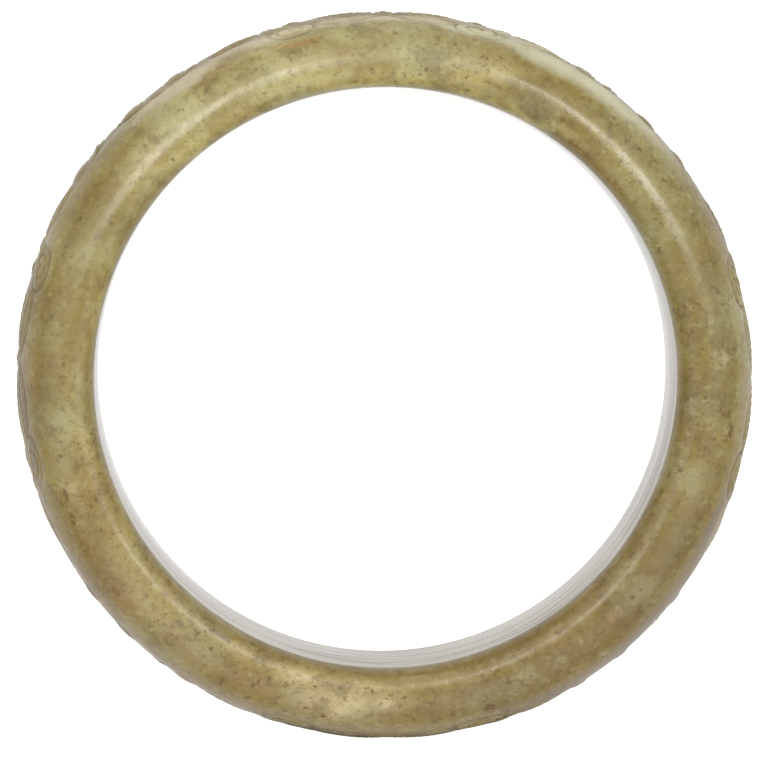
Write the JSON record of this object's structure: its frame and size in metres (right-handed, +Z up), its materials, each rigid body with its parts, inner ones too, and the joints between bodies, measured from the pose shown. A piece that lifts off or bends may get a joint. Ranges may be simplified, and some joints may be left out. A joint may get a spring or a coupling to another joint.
{
  "type": "jade bangle",
  "caption": "Rigid carved stone bangle: a D-section ring with a plain round bore and a band of low scroll relief round its outer face, lying flat.",
  "frame": {"origin": "centre of the ring's outer face, on the flat that the bangle lies on", "axes": "+Z up along the ring's axis, +X through the middle of the first carved scroll"},
  "size_m": [0.0774, 0.0768, 0.015],
  "materials": {
    "nephrite": "polished"
  },
  "bodies": {
    "root": {"bangle": "nephrite"}
  },
  "joints": []
}
